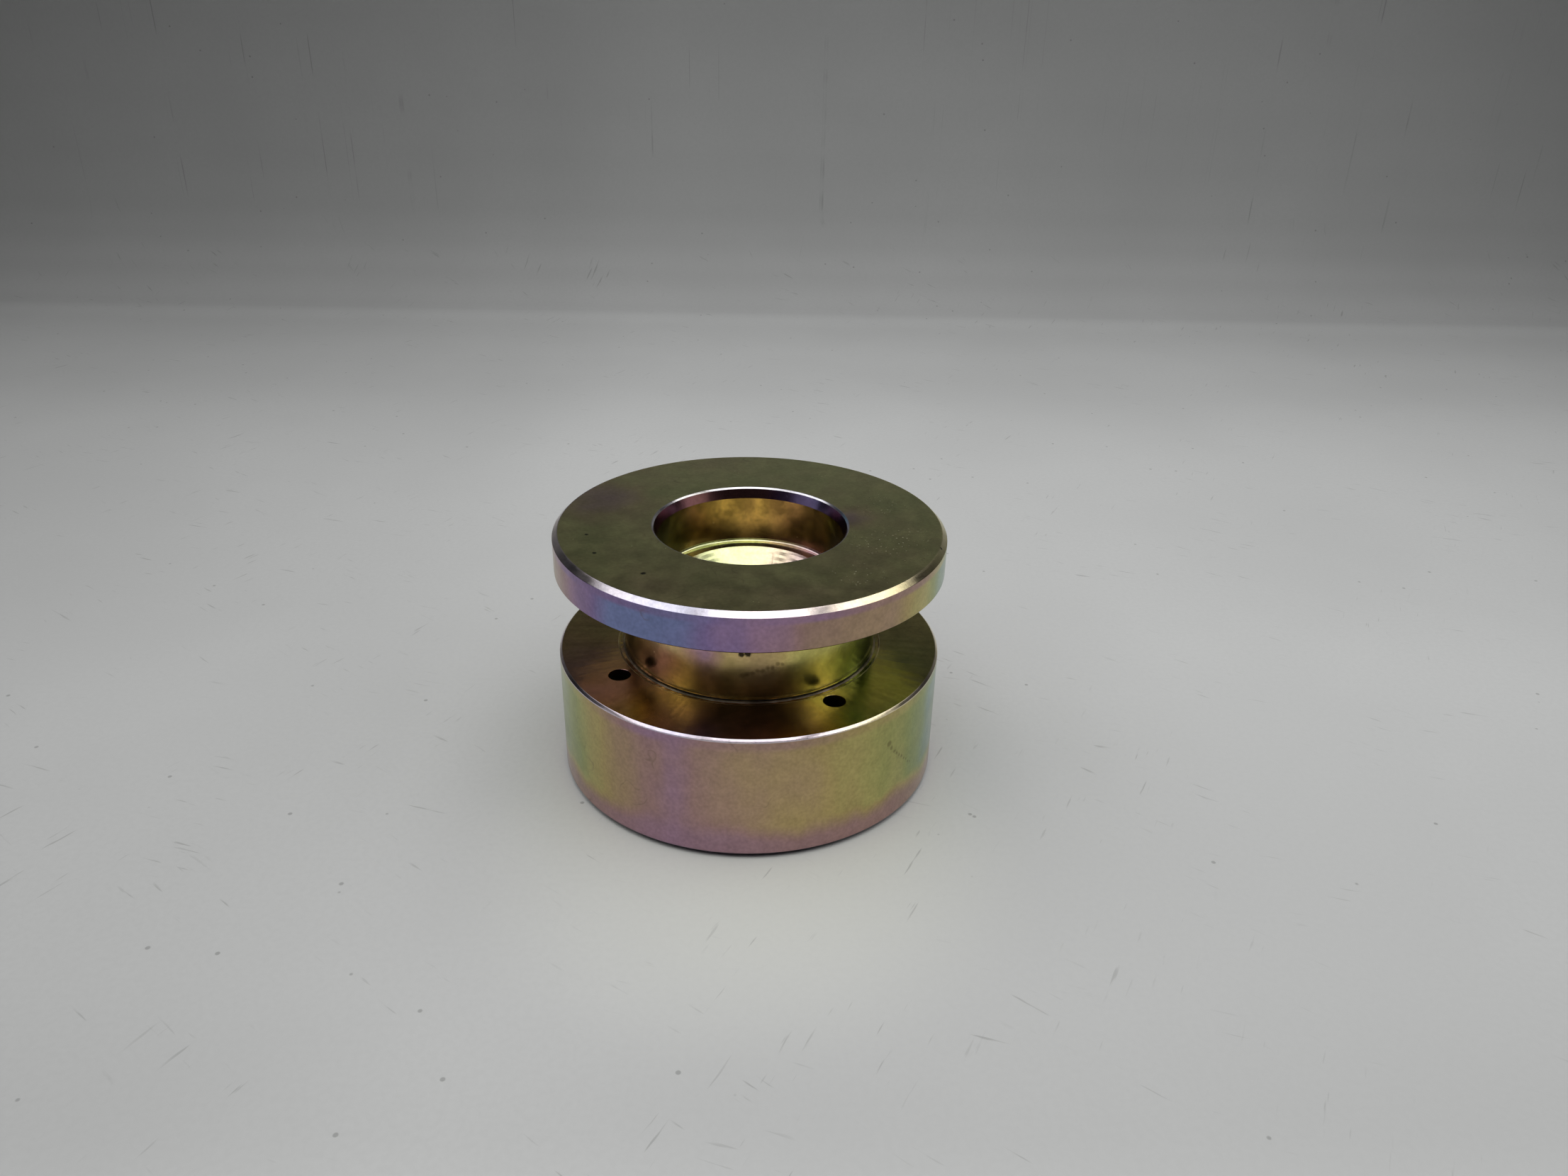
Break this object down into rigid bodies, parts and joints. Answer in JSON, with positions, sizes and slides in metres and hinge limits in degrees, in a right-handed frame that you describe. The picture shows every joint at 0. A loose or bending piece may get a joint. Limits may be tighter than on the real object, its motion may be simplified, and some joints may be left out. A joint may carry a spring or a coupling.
{
  "type": "steam trap",
  "caption": "Compact disc steam trap: collar flange with inlet socket, short neck, and round outlet housing with axial discharge holes around the neck.",
  "frame": {"origin": "on the turning axis, at the base the trap stands on", "axes": "+Z along the turning axis from the base to the flange face; the front of the object faces -Y"},
  "size_m": [0.08, 0.08, 0.0535],
  "materials": {
    "plated_steel": "yellow chromate zinc plating, satin and iridescent",
    "plated_cover": "yellow chromate zinc plating, satin",
    "seat_steel": "hardened stainless steel, lapped",
    "cap_steel": "stainless steel, turned",
    "screen_steel": "perforated stainless sheet",
    "fastener_steel": "black oxide",
    "bimetal": "bright strip",
    "graphite": "pressed graphite"
  },
  "bodies": {
    "trap_body": {"inlet_spool": "plated_steel", "outlet_housing": "plated_steel", "housing_lock_pins": "cap_steel", "shoulder_gasket": "graphite", "strainer_screen": "screen_steel", "strainer_end_cap": "screen_steel", "strainer_clamp_ring": "cap_steel", "seat_plate": "seat_steel", "orifice_bush": "seat_steel", "seat_gasket": "graphite", "seat_screws": "fastener_steel", "seat_screw_washers": "cap_steel", "seat_dowels": "cap_steel", "bimetal_vent_ring": "bimetal", "control_cap": "cap_steel", "cap_gasket": "graphite", "bottom_cover": "plated_cover", "cover_gasket": "graphite", "cover_snap_ring": "fastener_steel"},
    "disc": {"valve_disc": "seat_steel"}
  },
  "joints": [
    {"name": "disc_lift", "type": "slide", "parent": "trap_body", "child": "disc", "axis": [0, 0, 1], "range_m": [0, 0.001]}
  ]
}
